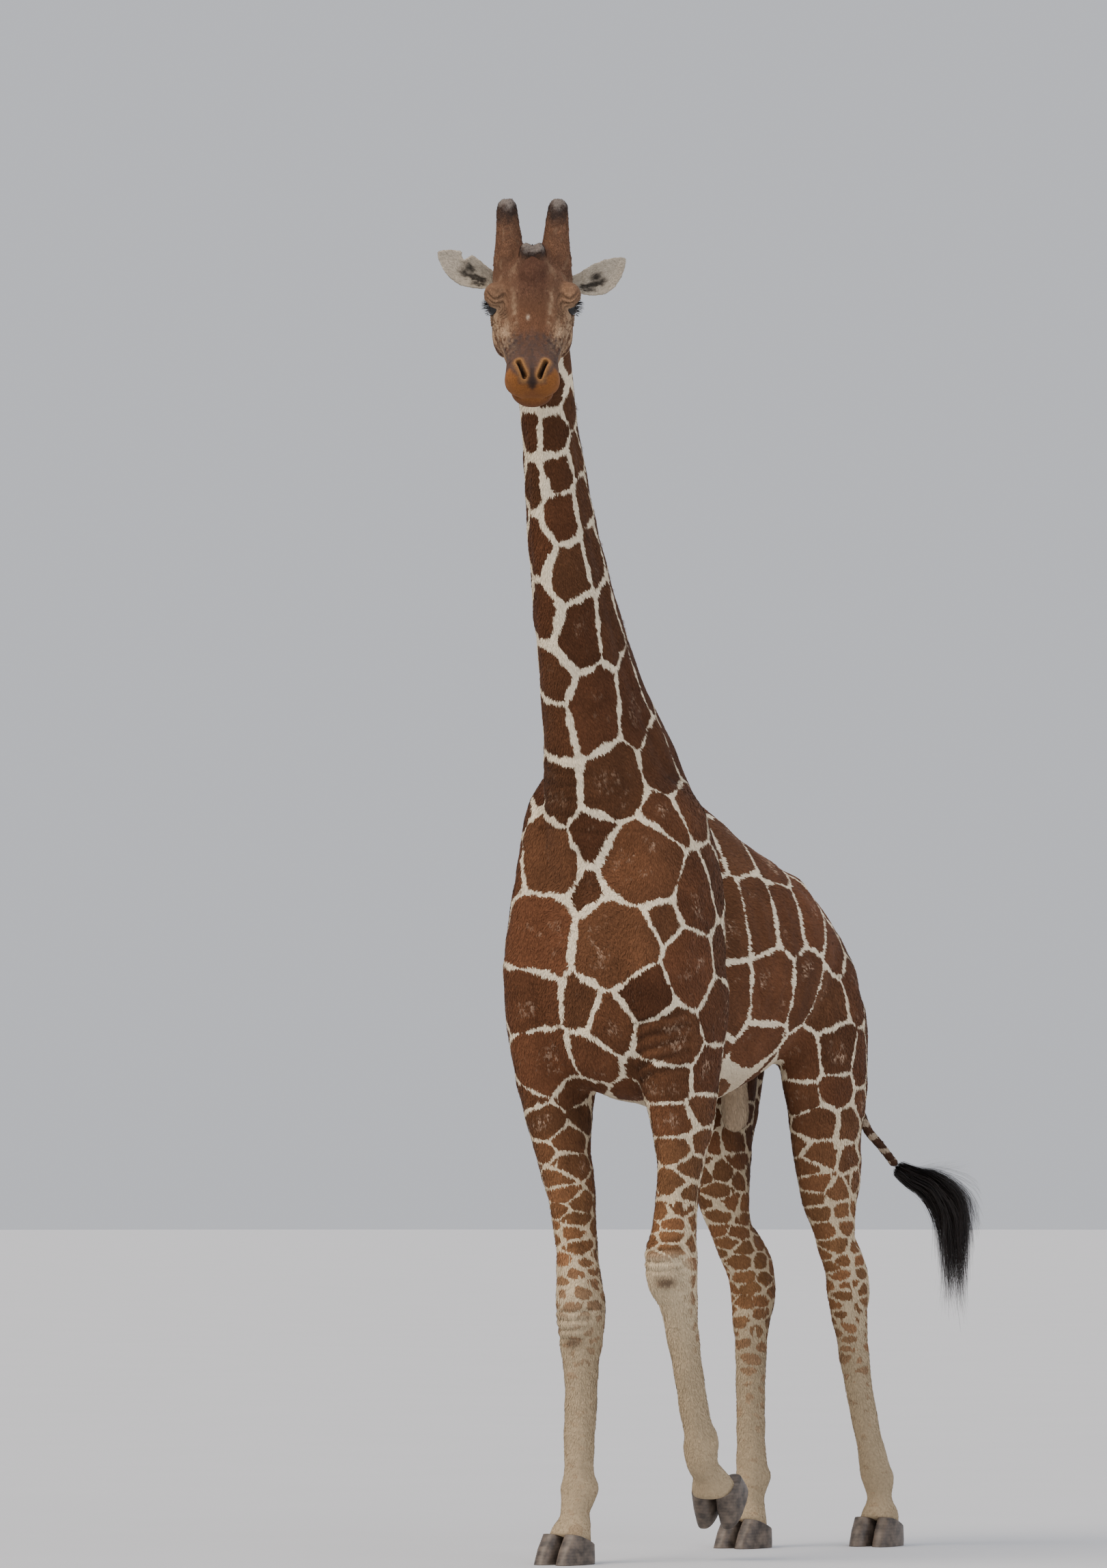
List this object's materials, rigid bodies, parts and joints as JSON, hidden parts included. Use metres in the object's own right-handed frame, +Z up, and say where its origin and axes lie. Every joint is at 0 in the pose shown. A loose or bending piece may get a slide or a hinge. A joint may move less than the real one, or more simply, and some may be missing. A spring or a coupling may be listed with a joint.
{
  "type": "reticulated giraffe",
  "caption": "Life-size reticulated giraffe bull standing still with its head turned, one forefoot just lifted and its tail swung to the side.",
  "frame": {"origin": "middle of the bounding box on the floor, between the feet", "axes": "+Z up, -Y the way the body faces, +X its left side"},
  "size_m": [0.825, 3.408, 5.1709],
  "materials": {
    "coat": "short hair, red-brown patches with cream lines",
    "leg_coat": "short beige hair with small brown patches",
    "head_coat": "short red-brown hair, ochre muzzle",
    "ear_hair": "pale grey short hair",
    "horn": "brown hair with bald dark-grey tips",
    "hoof": "dark grey-brown horn, satin",
    "eye": "very dark brown, wet gloss",
    "mane_hair": "short stiff red-brown hair",
    "tail_hair": "long black hair"
  },
  "bodies": {
    "root": {"ear_left": "ear_hair", "ear_right": "ear_hair", "eye_left": "eye", "eye_right": "eye", "fore_left_hoof_left": "hoof", "fore_left_hoof_right": "hoof", "fore_left_lower_leg": "leg_coat", "fore_left_upper_leg": "coat", "fore_right_hoof_left": "hoof", "fore_right_hoof_right": "hoof", "fore_right_lower_leg": "leg_coat", "fore_right_upper_leg": "coat", "head": "head_coat", "hind_left_hoof_left": "hoof", "hind_left_hoof_right": "hoof", "hind_left_lower_leg": "leg_coat", "hind_left_upper_leg": "coat", "hind_right_hoof_left": "hoof", "hind_right_hoof_right": "hoof", "hind_right_lower_leg": "leg_coat", "hind_right_upper_leg": "coat", "horn_left": "horn", "horn_median": "horn", "horn_right": "horn", "mane": "mane_hair", "neck_lower": "coat", "neck_upper": "coat", "tail": "coat", "tail_tuft": "tail_hair", "trunk": "coat"}
  },
  "joints": []
}
